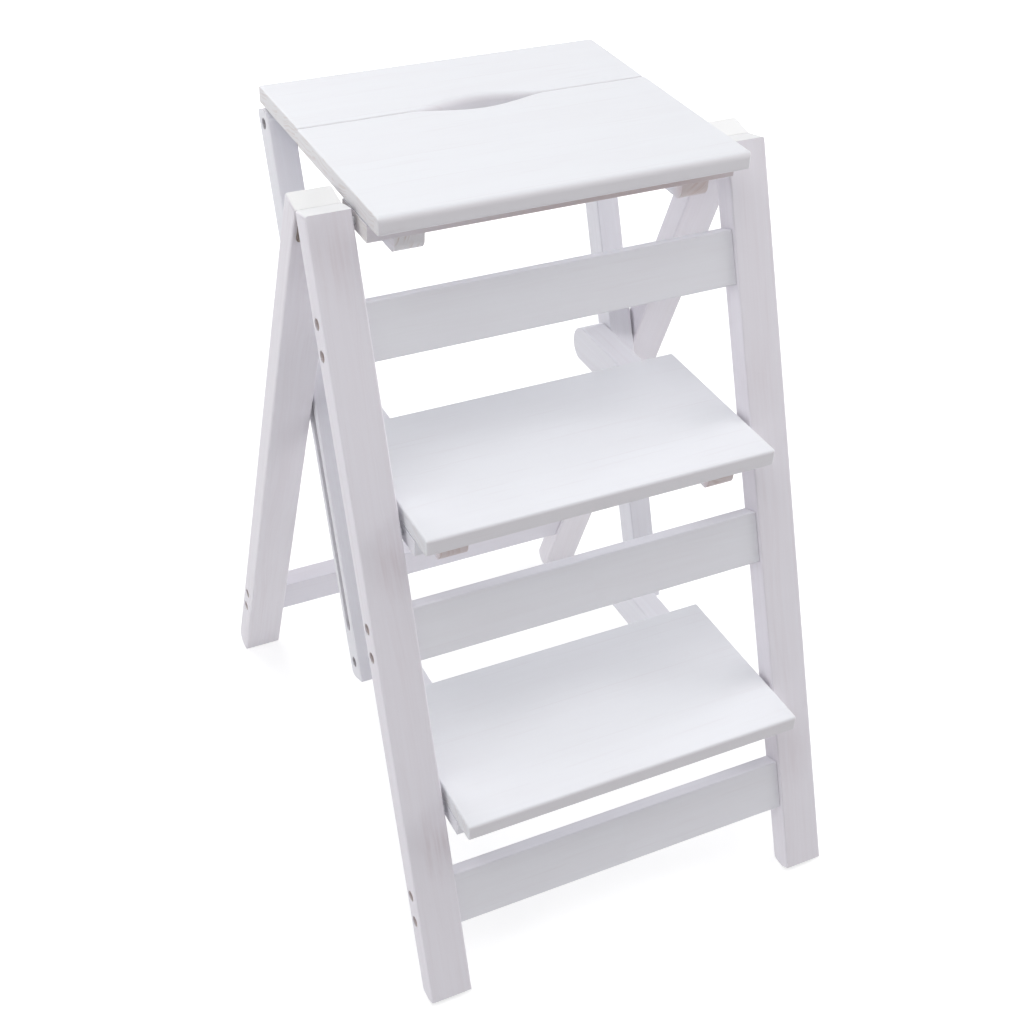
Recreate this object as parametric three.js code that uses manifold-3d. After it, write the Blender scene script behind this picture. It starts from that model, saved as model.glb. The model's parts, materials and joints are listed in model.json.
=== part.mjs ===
// A folding step stool chair in painted pine: a leaning front frame, a rear frame hinged to its top,
// a seat and two steps that turn on the front frame, and two link bars that join their rear ends.
// Millimetres, +Z up, +Y to the rear, X across. The origin is on the floor under the middle.
import * as THREE from "three";
import { mergeVertices } from "three/addons/utils/BufferGeometryUtils.js";
import Module from "manifold-3d";

const wasm = await Module();
wasm.setup();

// Overall proportions.
const seatHeight = 645;
const lowerStepHeight = 183;
const leanDegrees = 21.4;
const legLeanDegrees = 20.6;
const footReach = 263.956;
const stileAbovePivot = 9.6;
const sideGap = 3.8;

// Clearance between pieces that touch, and the wider one round a moving pin.
const fit = 0.3;

// Stiles and rear legs, cut from the same stick.
const stickWidth = 37.5;
const stickDepth = 22;
const stickArris = 1.8;
const stileHeelRadius = 9;
const legHeelRadius = 12;
const toeRise = 5.4;
const toeRun = 10;
const topCornerRadius = 3;
const topCutDegrees = 8.8;

// Cross rails of the front and rear frames.
const railHeight = 47;
const railDepth = 17.5;
const railSetback = 3.5;
const railArris = 1.5;
const railBelowPivot = 108.4;
const railShifts = [0, -1.6, 1.4];
const rearRailFoot = 62.3;

// Boards of the seat and the steps.
const boardHalfLength = 160.7;
const boardThickness = 15;
const boardDepth = 172;
const rearBoardDepth = 97;
const rearBoardInset = 1;
const seamGap = 0.8;
const boardLead = 48.5;
const noseRadius = 8;
const boardArris = 1.6;

// Hand slot in the seat, half in each board.
const slotHalfLength = 58;
const slotFrontBow = 11.5;
const slotRearBow = 12;
const slotFrontEdge = 2.5;
const slotRearEdge = 7;
const slotOverrun = 2;
const slotTipShare = 0.35;
const slotPoints = 16;
const slotEdgeSteps = 3;

// Cross batten under the front of each board.
const battenDepth = 50;
const battenThickness = 15;
const battenSetback = 22;
const battenArris = 1.2;

// Arms under each board, from the batten back to the link bar, with the board let in on top.
const armWidth = 25;
const armHeight = 35;
const armReach = 205.5;
const armDrop = 5;
const armTail = 1.5;
const armSetback = 1.5;
const armNoseRadius = 9;
const armArris = 1.5;

// Link bars, with a groove for the guide pin of the rear leg.
const barWidth = 23;
const barDepth = 25;
const barArris = 1.5;
const barGap = 2.9;
const barFoot = 16.5;
const barHeelRadius = 9;
const barShoulderRadius = 7;
const grooveWidth = 9;
const grooveDepth = 7;
const grooveAbovePivot = 32;

// Screws, bolts and pins.
const counterboreRadius = 5;
const frameCounterbore = 12;
const barCounterbore = 12.5;
const headRadius = 4.5;
const headHeight = 4;
const socketRadius = 2.2;
const socketDepth = 2.4;
const screwRadius = 2.2;
const screwBite = 29;
const screwTip = 5;
const screwPitch = 25;
const boltRadius = 3;
const boltBite = 18;
const pinRadius = 3.5;
const pinSeat = 14;
const pinBite = 25;
const pinChamfer = 0.6;
const guideSeat = 15;

// Butt hinges between the stiles and the rear legs.
const hingeOffset = 3.1;
const leafLength = 30;
const leafWidth = 26;
const leafThickness = 1.5;
const leafCorner = 3;
const barrelRadius = 2.75;
const hingePinRadius = 1.3;
const hingePinHead = 1;
const middleKnuckle = 11.4;

// Corners closer than this are one.
const weld = 1e-4;

// Fineness of the round shapes.
const arcSteps = 6;
const arrisSteps = 2;
const roundSides = 14;
const screwSides = 12;
const socketSides = 6;

const half = 1 / 2;
const quarterTurn = Math.PI / 2;
const halfTurn = Math.PI;
const fullTurn = halfTurn + halfTurn;
const lean = THREE.MathUtils.degToRad(leanDegrees);
const legLean = THREE.MathUtils.degToRad(legLeanDegrees);
const spread = lean + legLean;
const topSlope = Math.tan(THREE.MathUtils.degToRad(topCutDegrees));

// Where the pieces lie: n runs back from a frame's front face, s up along it.
const pivotN = stickDepth * half;
const stepRise = (seatHeight - lowerStepHeight) * half;
const stepLevels = [0, stepRise, stepRise + stepRise];
const stepNames = ["seat", "middle", "lower"];

function stepPivot(level) {
  const z = seatHeight - level - boardThickness - fit - battenThickness * half;
  const s = (z + pivotN * Math.sin(lean)) / Math.cos(lean);
  const y = pivotN * Math.cos(lean) + s * Math.sin(lean) - footReach;
  return { y, z, s };
}

const pivots = stepLevels.map(stepPivot);
const links = pivots.map((p) => ({ y: p.y + armReach, z: p.z - armDrop }));
const lowerLink = links[links.length - 1];
const barSpan = Math.hypot(links[0].y - lowerLink.y, links[0].z - lowerLink.z);

// Stile and leg meet at their top corners, just above the hinge, and so stop opening there.
const stileLength = pivots[0].s + stileAbovePivot;
const topReach = hingeOffset / Math.tan(spread * half) - fit;
const hingeN = stickDepth + hingeOffset;
const hingeS = stileLength + stickDepth * topSlope - topReach;
const hingeY = hingeN * Math.cos(lean) + hingeS * Math.sin(lean) - footReach;
const hingeZ = hingeS * Math.cos(lean) - hingeN * Math.sin(lean);
const legHingeS = (hingeZ + hingeOffset * Math.sin(legLean)) / Math.cos(legLean);
const legFootFront = hingeY + legHingeS * Math.sin(legLean) + hingeOffset * Math.cos(legLean);
const legLength = legHingeS + topReach;
const stileInnerFace = boardHalfLength + sideGap;
const stickMiddle = stileInnerFace + stickWidth * half;
const barOuterFace = stileInnerFace - barGap;
const barInnerFace = barOuterFace - barWidth;
const barMiddle = barOuterFace - barWidth * half;
const armMiddle = barInnerFace - fit - armWidth * half;

// The guide pin stands where the rear leg's middle crosses the link bar's middle.
const barN = pivotN + armReach * Math.cos(lean) + armDrop * Math.sin(lean);
const guideN = stickDepth * half;
const guideBelowHinge =
  (barN - hingeN - (hingeOffset + guideN) * Math.cos(spread)) / Math.sin(spread);
const guideS = legHingeS - guideBelowHinge;
const guideY = legFootFront + guideN * Math.cos(legLean) - guideS * Math.sin(legLean);
const guideZ = guideN * Math.sin(legLean) + guideS * Math.cos(legLean);
const guideAlongBar =
  (guideY - lowerLink.y) * Math.sin(lean) + (guideZ - lowerLink.z) * Math.cos(lean);

// Materials.
const paint = new THREE.MeshStandardMaterial({ color: 0xe6e5ea, roughness: 0.5, metalness: 0 });
const steel = new THREE.MeshStandardMaterial({ color: 0xb4b6ba, roughness: 0.35, metalness: 1 });
const plated = new THREE.MeshStandardMaterial({ color: 0xb3a583, roughness: 0.4, metalness: 1 });

// A closed geometry as a solid that can be joined and cut.
function solid(geometry) {
  const bare = geometry.clone();
  bare.deleteAttribute("normal");
  bare.deleteAttribute("uv");
  const merged = mergeVertices(bare, weld);
  const mesh = new wasm.Mesh({
    numProp: 3,
    vertProperties: new Float32Array(merged.attributes.position.array),
    triVerts: new Uint32Array(merged.index.array),
  });
  return new wasm.Manifold(mesh);
}

function geometryOf(body) {
  const mesh = body.getMesh();
  const geometry = new THREE.BufferGeometry();
  geometry.setAttribute("position", new THREE.BufferAttribute(mesh.vertProperties, 3));
  geometry.setIndex(new THREE.BufferAttribute(mesh.triVerts, 1));
  const flat = geometry.toNonIndexed();
  flat.computeVertexNormals();
  return flat;
}

function cut(body, ...tools) {
  return tools.reduce((rest, tool) => rest.subtract(solid(tool)), body);
}

function join(first, ...others) {
  return others.reduce((whole, other) => whole.add(solid(other)), solid(first));
}

// The same geometry turned over through a mirror on X = 0, or on Y = 0.
function mirrored(geometry, across = "x") {
  const other = geometry.clone();
  if (across === "x") other.scale(-1, 1, 1);
  else other.scale(1, -1, 1);
  const turned = [];
  for (let i = 0; i < other.attributes.position.count; i += 3) turned.push(i, i + 2, i + 1);
  other.setIndex(turned);
  const flat = other.toNonIndexed();
  flat.computeVertexNormals();
  return flat;
}

// A rectangle from the origin, with a radius for each corner, counterclockwise from the origin.
function roundedRect(width, height, radii) {
  const [r0, r1, r2, r3] = radii;
  const shape = new THREE.Shape();
  const turn = (x, y, r, from) => {
    if (r > 0) shape.absarc(x, y, r, from, from + quarterTurn, false);
    else shape.lineTo(x, y);
  };
  shape.moveTo(r0, 0);
  turn(width - r1, r1, r1, -quarterTurn);
  turn(width - r2, height - r2, r2, 0);
  turn(r3, height - r3, r3, quarterTurn);
  turn(r0, r0, r0, halfTurn);
  return shape;
}

function extruded(shape, length, steps) {
  return new THREE.ExtrudeGeometry(shape, {
    depth: length,
    bevelEnabled: false,
    curveSegments: steps,
  });
}

// A section in X and Y, drawn out along Z.
function alongZ(shape, length, steps = arrisSteps) {
  return extruded(shape, length, steps);
}

// A side view in Y and Z, drawn out along X and centred on it.
function alongX(shape, length, steps = arcSteps) {
  const toSide = new THREE.Matrix4().makeBasis(
    new THREE.Vector3(0, 1, 0),
    new THREE.Vector3(0, 0, 1),
    new THREE.Vector3(1, 0, 0),
  );
  return extruded(shape, length, steps).applyMatrix4(toSide).translate(-length * half, 0, 0);
}

// A front view in X and Z, drawn out along Y from y = 0 to the rear.
function alongY(shape, length, steps = arrisSteps) {
  return extruded(shape, length, steps).rotateX(quarterTurn).translate(0, length, 0);
}

// A round bar along X, from x = from to x = to.
function roundX(radius, from, to, y, z, sides = roundSides) {
  return new THREE.CylinderGeometry(radius, radius, to - from, sides)
    .rotateZ(-quarterTurn)
    .translate((from + to) * half, y, z);
}

// A turned piece along X: the profile holds [radius, x] from one end to the other.
function turnedX(profile, sides) {
  const points = profile.map(([r, x]) => new THREE.Vector2(r, x));
  return new THREE.LatheGeometry(points, sides).rotateZ(-quarterTurn);
}

// A closed skin over rings of the same number of points, the first ring on top.
function lofted(rings) {
  const count = rings[0].length;
  const place = rings.flat().flat();
  const index = [];
  for (let k = 0; k < rings.length - 1; k++) {
    for (let i = 0; i < count; i++) {
      const a = k * count + i;
      const b = k * count + ((i + 1) % count);
      index.push(a, a + count, b, b, a + count, b + count);
    }
  }
  const cap = (ring) => {
    const outline = ring.map(([x, y]) => new THREE.Vector2(x, y));
    return THREE.ShapeUtils.triangulateShape(outline, []);
  };
  for (const [a, b, c] of cap(rings[0])) index.push(a, b, c);
  const low = (rings.length - 1) * count;
  for (const [a, b, c] of cap(rings[rings.length - 1])) index.push(low + a, low + c, low + b);
  const geometry = new THREE.BufferGeometry();
  geometry.setAttribute("position", new THREE.Float32BufferAttribute(place, 3));
  geometry.setIndex(index);
  return geometry;
}

function named(name, geometry, material, group, x = 0, y = 0, z = 0) {
  const mesh = new THREE.Mesh(geometry, material);
  mesh.name = name;
  mesh.position.set(x, y, z);
  group.add(mesh);
  return mesh;
}

// The piece drawn for the right-hand side, and its mirror image on the left.
function pair(name, geometry, material, group, x, y = 0, z = 0) {
  named(`${name}_right`, geometry, material, group, x, y, z);
  named(`${name}_left`, mirrored(geometry), material, group, -x, y, z);
}

const stool = new THREE.Group();

// Front frame: its group leans back, so inside it Y is n and Z is s.
const frontFrame = new THREE.Group();
frontFrame.position.set(0, -footReach, 0);
frontFrame.rotation.x = -lean;
stool.add(frontFrame);

const rearFrame = new THREE.Group();
rearFrame.position.set(0, legFootFront, 0);
rearFrame.rotation.x = legLean;
stool.add(rearFrame);

const railFeet = pivots.map((p, i) => p.s - railBelowPivot + railShifts[i]);
const railMiddleN = railSetback + railDepth * half;
const screwOffsets = [(railHeight - screwPitch) * half, (railHeight + screwPitch) * half];

// The stick's side view: the toe lifts a little off the floor and the heel is rounded.
function stickSide(length, tilt, heel, rise, run) {
  const floorAt = (n) => n * Math.tan(tilt);
  const corner = new THREE.Vector2(stickDepth, floorAt(stickDepth));
  const tangent = heel / Math.tan((quarterTurn + tilt) * half);
  const along = new THREE.Vector2(Math.cos(tilt), Math.sin(tilt));
  const start = corner.clone().addScaledVector(along, -tangent);
  const shape = new THREE.Shape();
  shape.moveTo(0, rise);
  shape.lineTo(run, floorAt(run));
  shape.lineTo(start.x, start.y);
  shape.absarc(stickDepth - heel, corner.y + tangent, heel, tilt - quarterTurn, 0, false);
  shape.lineTo(stickDepth, length + stickDepth);
  shape.lineTo(0, length + stickDepth);
  shape.closePath();
  return shape;
}

// A stile or leg: rounded long edges, shaped foot, and a top cut at a slope with its outer corner off.
function stick(length, slope, side) {
  const arris = stickArris;
  const section = roundedRect(stickWidth, stickDepth, [arris, arris, arris, arris]);
  const whole = length + stickDepth + stickDepth;
  const stock = solid(alongZ(section, whole).translate(-stickWidth * half, 0, -stickDepth));
  const profile = solid(alongX(side, stickWidth));
  const front = roundedRect(stickWidth, length + stickDepth, [0, 0, topCornerRadius, 0]);
  const face = alongY(front, stickDepth, arcSteps).translate(-stickWidth * half, 0, -stickDepth);
  const slant = new THREE.Matrix4().makeShear(0, 0, 0, slope, 0, 0);
  return stock.intersect(profile).intersect(solid(face.applyMatrix4(slant)));
}

// The holes for one screw through a stick: the counterbore and the way through it.
function screwHoles(n, s) {
  const outer = stickWidth * half;
  return [
    roundX(counterboreRadius, outer - frameCounterbore, outer + fit, n, s),
    roundX(screwRadius + fit, -outer - fit, outer, n, s, screwSides),
  ];
}

const screwPlaces = railFeet.flatMap((foot) => screwOffsets.map((up) => foot + up));
const rearScrewPlaces = screwOffsets.map((up) => rearRailFoot + up);

const pivotHoles = pivots.map((p) =>
  roundX(
    pinRadius + fit,
    -stickWidth * half - fit,
    -stickWidth * half + pinSeat + fit,
    pivotN,
    p.s,
  ),
);
const stileSide = stickSide(stileLength, lean, stileHeelRadius, toeRise, toeRun);
const stile = cut(
  stick(stileLength, topSlope, stileSide),
  ...screwPlaces.flatMap((s) => screwHoles(railMiddleN, s)),
  ...pivotHoles,
);
pair("front_stile", geometryOf(stile), paint, frontFrame, stickMiddle);

const guideHole = roundX(
  pinRadius + fit,
  -stickWidth * half - fit,
  -stickWidth * half + guideSeat + fit,
  guideN,
  guideS,
);
const legSide = stickSide(legLength, -legLean, legHeelRadius, 0, 0);
const leg = cut(
  stick(legLength, -topSlope, legSide),
  ...rearScrewPlaces.flatMap((s) => screwHoles(railMiddleN, s)),
  guideHole,
);
pair("rear_leg", geometryOf(leg), paint, rearFrame, stickMiddle);

// Rails: the screws bite into their end grain.
function rail() {
  const halfLength = stileInnerFace - fit;
  const arris = railArris;
  const section = roundedRect(railDepth, railHeight, [arris, arris, arris, arris]);
  const blank = solid(alongX(section, halfLength + halfLength, arrisSteps));
  const bores = screwOffsets.flatMap((up) => {
    const deep = halfLength - screwBite - fit;
    const y = railDepth * half;
    return [
      roundX(screwRadius + fit, deep, halfLength + fit, y, up, screwSides),
      roundX(screwRadius + fit, -halfLength - fit, -deep, y, up, screwSides),
    ];
  });
  return geometryOf(cut(blank, ...bores));
}

const railNames = ["top", "middle", "bottom"];
const railShape = rail();
railFeet.forEach((foot, i) => {
  named(`front_rail_${railNames[i]}`, railShape, paint, frontFrame, 0, railSetback, foot);
});
named("rear_rail", railShape, paint, rearFrame, 0, railSetback, rearRailFoot);

// A fastener along X: tip at x = 0, a flat head with a hexagonal socket at the far end.
function fastener(shankRadius, shankLength, tipLength) {
  const top = shankLength + headHeight;
  const body = turnedX(
    [
      [0, 0],
      [shankRadius * half, 0],
      [shankRadius, tipLength],
      [shankRadius, shankLength],
      [headRadius, shankLength],
      [headRadius, top - pinChamfer],
      [headRadius - pinChamfer, top],
      [0, top],
    ],
    screwSides,
  );
  const socket = roundX(socketRadius, top - socketDepth, top + fit, 0, 0, socketSides);
  return geometryOf(cut(solid(body), socket));
}

const screwShank = stickWidth - frameCounterbore + fit + fit + screwBite;
const screwTipX = stileInnerFace - fit - screwBite;
const screwShape = fastener(screwRadius, screwShank, screwTip);
screwPlaces.forEach((s, i) => {
  pair(`front_screw_${i + 1}`, screwShape, steel, frontFrame, screwTipX, railMiddleN, s);
});
rearScrewPlaces.forEach((s, i) => {
  pair(`rear_screw_${i + 1}`, screwShape, steel, rearFrame, screwTipX, railMiddleN, s);
});

// A plain pin along X with chamfered ends.
function pin(radius, length) {
  const small = radius - pinChamfer;
  return turnedX(
    [
      [0, 0],
      [small, 0],
      [radius, pinChamfer],
      [radius, length - pinChamfer],
      [small, length],
      [0, length],
    ],
    roundSides,
  );
}

// The steps turn on pins between the stiles and the ends of the battens.
const pivotPinLength = stileInnerFace + pinSeat - (boardHalfLength - pinBite);
const pivotPin = geometryOf(solid(pin(pinRadius, pivotPinLength)));
pivots.forEach((p, i) => {
  const x = boardHalfLength - pinBite;
  pair(`pivot_pin_${stepNames[i]}`, pivotPin, steel, frontFrame, x, pivotN, p.s);
});

// The guide pin stands out of the rear leg towards the groove of the link bar.
const guideStand = stileInnerFace - barOuterFace - fit;
const guidePin = geometryOf(solid(pin(pinRadius, guideSeat + guideStand)));
pair("guide_pin", guidePin, steel, rearFrame, stileInnerFace - guideStand, guideN, guideS);

// Butt hinges: the barrel lies in the notch between stile and leg, the leaves run down both faces.
const knuckleEnds = [
  [-leafLength * half, -middleKnuckle * half - fit],
  [middleKnuckle * half + fit, leafLength * half],
];
const middleEnds = [[-middleKnuckle * half, middleKnuckle * half]];

// A leaf with its barrel on the origin, the plate on the side of negative Y and running down.
function hingeLeaf(knuckles) {
  const corner = leafCorner;
  const plateTop = -barrelRadius - fit;
  const outline = roundedRect(leafLength, leafWidth + plateTop, [corner, corner, 0, 0]);
  const plateY = -hingeOffset + fit;
  const plate = alongY(outline, leafThickness).translate(-leafLength * half, plateY, -leafWidth);
  const wraps = knuckles.flatMap(([from, to]) => [
    roundX(barrelRadius, from, to, 0, 0),
    new THREE.BoxGeometry(to - from, leafThickness, barrelRadius + barrelRadius).translate(
      (from + to) * half,
      plateY + leafThickness * half,
      -barrelRadius,
    ),
  ]);
  const bore = roundX(hingePinRadius + fit, -leafLength, leafLength, 0, 0);
  return geometryOf(cut(join(plate, ...wraps), bore));
}

const frontLeaf = hingeLeaf(knuckleEnds);
const rearLeaf = mirrored(hingeLeaf(middleEnds), "y");
pair("hinge_leaf_front", frontLeaf, plated, frontFrame, stickMiddle, hingeN, hingeS);
pair("hinge_leaf_rear", rearLeaf, plated, rearFrame, stickMiddle, -hingeOffset, legHingeS);

const hingePinHalf = leafLength * half + fit;
const hingePin = turnedX(
  [
    [0, -hingePinHalf - hingePinHead],
    [hingePinRadius + hingePinHead, -hingePinHalf - hingePinHead],
    [hingePinRadius + hingePinHead, -hingePinHalf],
    [hingePinRadius, -hingePinHalf],
    [hingePinRadius, hingePinHalf],
    [hingePinRadius + hingePinHead, hingePinHalf],
    [hingePinRadius + hingePinHead, hingePinHalf + hingePinHead],
    [0, hingePinHalf + hingePinHead],
  ],
  roundSides,
);
pair("hinge_pin", geometryOf(solid(hingePin)), plated, frontFrame, stickMiddle, hingeN, hingeS);

// A board along X, its front edge rounded over, its top at z = 0 and its front edge at y = 0.
function board(halfLength, depth, frontRadius) {
  const length = halfLength + halfLength;
  const arris = boardArris;
  const side = roundedRect(depth, boardThickness, [arris, arris, arris, frontRadius]);
  const ends = roundedRect(length, boardThickness, [arris, arris, arris, arris]);
  const blank = solid(alongX(side, length).translate(0, 0, -boardThickness));
  const shaped = solid(alongY(ends, depth).translate(-halfLength, 0, -boardThickness));
  return blank.intersect(shaped);
}

// Half of the hand slot: a long bow away from the seam, its edges rounded over above and below.
function slotCutter(bow, edge, towards) {
  const rings = [];
  const heights = [[slotOverrun, edge]];
  for (let k = 0; k <= slotEdgeSteps; k++) {
    const a = (quarterTurn * k) / slotEdgeSteps;
    heights.push([-edge * (1 - Math.cos(a)), edge * (1 - Math.sin(a))]);
  }
  const lower = heights.map(([z, flare]) => [-boardThickness - z, flare]).reverse();
  for (const [z, flare] of [...heights, ...lower]) {
    const ring = [];
    for (let i = 0; i <= slotPoints; i++) {
      const share = (i + i) / slotPoints - 1;
      const x = share * (slotHalfLength + flare);
      const bend = Math.cos(quarterTurn * share);
      const soft = bend * (1 - slotTipShare + slotTipShare * bend);
      ring.push([x, towards * (soft * (bow + flare)), z]);
    }
    ring.push([slotHalfLength + flare, -towards * slotOverrun, z]);
    ring.push([-slotHalfLength - flare, -towards * slotOverrun, z]);
    rings.push(towards > 0 ? ring.reverse() : ring);
  }
  return lofted(rings);
}

const seatFrontBoard = cut(
  board(boardHalfLength, boardDepth, noseRadius),
  slotCutter(slotFrontBow, slotFrontEdge, -1).translate(0, boardDepth, 0),
);
const seatRearBoard = cut(
  board(boardHalfLength - rearBoardInset, rearBoardDepth, boardArris),
  slotCutter(slotRearBow, slotRearEdge, 1),
);
const stepBoard = geometryOf(board(boardHalfLength, boardDepth, noseRadius));

// The batten lies under the board and across the whole width; the pins turn in its ends.
function batten() {
  const arris = battenArris;
  const length = boardHalfLength + boardHalfLength;
  const section = roundedRect(battenDepth, battenThickness, [arris, arris, arris, arris]);
  const start = -boardLead + battenSetback;
  const blank = solid(alongX(section, length, arrisSteps).translate(0, start, 0));
  const middle = battenThickness * half;
  const deep = boardHalfLength - pinBite - fit;
  return geometryOf(
    cut(
      blank,
      roundX(pinRadius + fit, deep, boardHalfLength + fit, 0, middle),
      roundX(pinRadius + fit, -boardHalfLength - fit, -deep, 0, middle),
    ),
  );
}

// An arm along Y, its middle line at z = 0: a rounded nose, a housing cut down into its top for the
// board, a deeper notch for the batten, and a half-round rear end for the bolt.
function arm(boardEnd) {
  const noseY = -boardLead + battenSetback + armSetback;
  const radius = armHeight * half;
  const nose = armNoseRadius;
  const side = new THREE.Shape();
  side.moveTo(noseY, radius);
  side.lineTo(noseY, nose - radius);
  side.absarc(noseY + nose, nose - radius, nose, halfTurn, halfTurn + quarterTurn, false);
  side.lineTo(armReach + armTail, -radius);
  side.absarc(armReach + armTail, 0, radius, -quarterTurn, quarterTurn, false);
  side.closePath();
  const length = armReach + armTail + radius - noseY;
  const arris = armArris;
  const ends = roundedRect(armWidth, armHeight, [arris, arris, arris, arris]);
  const shaped = solid(alongY(ends, length).translate(-armWidth * half, noseY, -radius));
  const blank = solid(alongX(side, armWidth)).intersect(shaped);
  const wide = armWidth + armWidth;
  const boardFloor = battenThickness * half + armDrop;
  const battenFloor = armDrop - battenThickness * half - fit;
  const opening = (from, to, floor) =>
    new THREE.BoxGeometry(wide, to - from, radius).translate(
      0,
      (from + to) * half,
      floor + radius * half,
    );
  const housing = opening(noseY - fit, boardEnd + fit, boardFloor);
  const notchEnd = -boardLead + battenSetback + battenDepth + fit;
  const notch = opening(noseY - fit, notchEnd, battenFloor);
  const bore = roundX(
    boltRadius + fit,
    armWidth * half - boltBite - fit,
    armWidth * half + fit,
    armReach,
    0,
  );
  return geometryOf(cut(blank, housing, notch, bore));
}

const battenShape = batten();
const stepArm = arm(boardDepth - boardLead);
const seatArm = arm(armReach + armTail + armHeight);
pivots.forEach((p, i) => {
  const step = new THREE.Group();
  step.position.set(0, p.y, p.z);
  stool.add(step);
  const name = i === 0 ? "seat" : `${stepNames[i]}_step`;
  const battenTop = battenThickness * half;
  const top = battenTop + fit + boardThickness;
  if (i === 0) {
    const rearStart = -boardLead + boardDepth + seamGap;
    named("seat_board_front", geometryOf(seatFrontBoard), paint, step, 0, -boardLead, top);
    named("seat_board_rear", geometryOf(seatRearBoard), paint, step, 0, rearStart, top);
  } else {
    named(`${name}_board`, stepBoard, paint, step, 0, -boardLead, top);
  }
  named(`${name}_batten`, battenShape, paint, step, 0, 0, -battenTop);
  pair(`${name}_arm`, i === 0 ? seatArm : stepArm, paint, step, armMiddle, 0, -armDrop);
});

// Link bars: the group stands on the lower bolts and leans with the stiles.
const barGroup = new THREE.Group();
barGroup.position.set(0, lowerLink.y, lowerLink.z);
barGroup.rotation.x = -lean;
stool.add(barGroup);

function linkBar() {
  const radius = barDepth * half;
  const heel = barHeelRadius;
  const shoulder = barShoulderRadius;
  const side = new THREE.Shape();
  side.moveTo(-radius, -barFoot);
  side.lineTo(radius - heel, -barFoot);
  side.absarc(radius - heel, heel - barFoot, heel, -quarterTurn, 0, false);
  side.lineTo(radius, barSpan + radius - shoulder);
  side.absarc(radius - shoulder, barSpan + radius - shoulder, shoulder, 0, quarterTurn, false);
  side.lineTo(0, barSpan + radius);
  side.absarc(0, barSpan, radius, quarterTurn, halfTurn, false);
  side.closePath();
  const arris = barArris;
  const section = roundedRect(barWidth, barDepth, [arris, arris, arris, arris]);
  const length = barSpan + radius + barFoot;
  const stock = alongZ(section, length).translate(-barWidth * half, -radius, -barFoot);
  const blank = solid(alongX(side, barWidth)).intersect(solid(stock));
  const outer = barWidth * half;
  const grooveRadius = grooveWidth * half;
  const groove = new THREE.Shape();
  const grooveTop = guideAlongBar;
  const grooveFoot = grooveAbovePivot + grooveRadius;
  groove.moveTo(grooveRadius, grooveFoot);
  groove.lineTo(grooveRadius, grooveTop);
  groove.absarc(0, grooveTop, grooveRadius, 0, halfTurn, false);
  groove.lineTo(-grooveRadius, grooveFoot);
  groove.absarc(0, grooveFoot, grooveRadius, halfTurn, fullTurn, false);
  const grooveTool = alongX(groove, grooveDepth + grooveDepth).translate(outer, 0, 0);
  const boltHoles = [0, barSpan * half, barSpan].flatMap((up) => [
    roundX(counterboreRadius, outer - barCounterbore, outer + fit, 0, up),
    roundX(boltRadius + fit, -outer - fit, outer, 0, up),
  ]);
  return geometryOf(cut(blank, grooveTool, ...boltHoles));
}

pair("link_bar", linkBar(), paint, barGroup, barMiddle);

const boltShank = barWidth - barCounterbore + fit + fit + boltBite;
const boltX = barInnerFace - fit - boltBite;
const boltShape = fastener(boltRadius, boltShank, pinChamfer);
[barSpan, barSpan * half, 0].forEach((up, i) => {
  pair(`link_bolt_${stepNames[i]}`, boltShape, steel, barGroup, boltX, 0, up);
});

export default stool;
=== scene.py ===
import json
import math

import bmesh
import bpy
from mathutils import Euler, Matrix, Vector


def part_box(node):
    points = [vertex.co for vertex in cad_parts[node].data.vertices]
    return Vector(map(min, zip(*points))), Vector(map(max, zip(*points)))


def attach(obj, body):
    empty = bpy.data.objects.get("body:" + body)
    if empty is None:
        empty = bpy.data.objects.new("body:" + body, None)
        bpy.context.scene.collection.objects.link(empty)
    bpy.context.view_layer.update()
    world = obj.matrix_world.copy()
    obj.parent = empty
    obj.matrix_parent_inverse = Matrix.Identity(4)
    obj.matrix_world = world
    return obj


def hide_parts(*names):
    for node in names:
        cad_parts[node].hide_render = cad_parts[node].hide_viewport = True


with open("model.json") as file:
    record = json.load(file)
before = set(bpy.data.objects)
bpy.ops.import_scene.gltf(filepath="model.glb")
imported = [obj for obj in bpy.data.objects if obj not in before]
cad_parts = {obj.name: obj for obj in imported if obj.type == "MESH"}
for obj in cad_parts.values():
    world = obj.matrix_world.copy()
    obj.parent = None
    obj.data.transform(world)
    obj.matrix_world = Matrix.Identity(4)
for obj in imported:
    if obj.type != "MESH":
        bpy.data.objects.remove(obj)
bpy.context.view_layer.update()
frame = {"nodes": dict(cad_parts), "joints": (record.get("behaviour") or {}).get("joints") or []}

# Sizes that the finishes and the small hardware share with the wood, in metres.
LEAN = math.radians(21.4)
LEG_LEAN = math.radians(20.6)
STEP_RISE = 0.231
FAR = 9.0
RING_WIDTH = 0.0036
ARRIS = 0.0016
RECESS_REACH = 0.012
ARM_RING_WIDTH = 0.0047
ARM_SPACING = (FAR, 0.252, STEP_RISE)
ARM_SHIFT = (0.0, 0.126, 0.089)
NOSE_TIP = 0.2554

# Patterns of noise: cells to the metre along X, Y and Z, the detail, and the roughness where it isn't 0.5.
STRIP_WANDER = ((9.0, 0.0, 0.0), 2.0)
GRAIN_WARP = ((2.6, 11.0, 11.0), 3.0)
KNOT_EDGE = ((42.0, 130.0, 130.0), 3.0, 0.6)
RECESS_EDGE = ((300.0, 300.0, 300.0), 2.0)
BRUSH_STROKES = ((18.0, 900.0, 900.0), 4.0)
BRUSH_GLOSS = ((14.0, 30.0, 30.0), 3.0)

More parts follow.
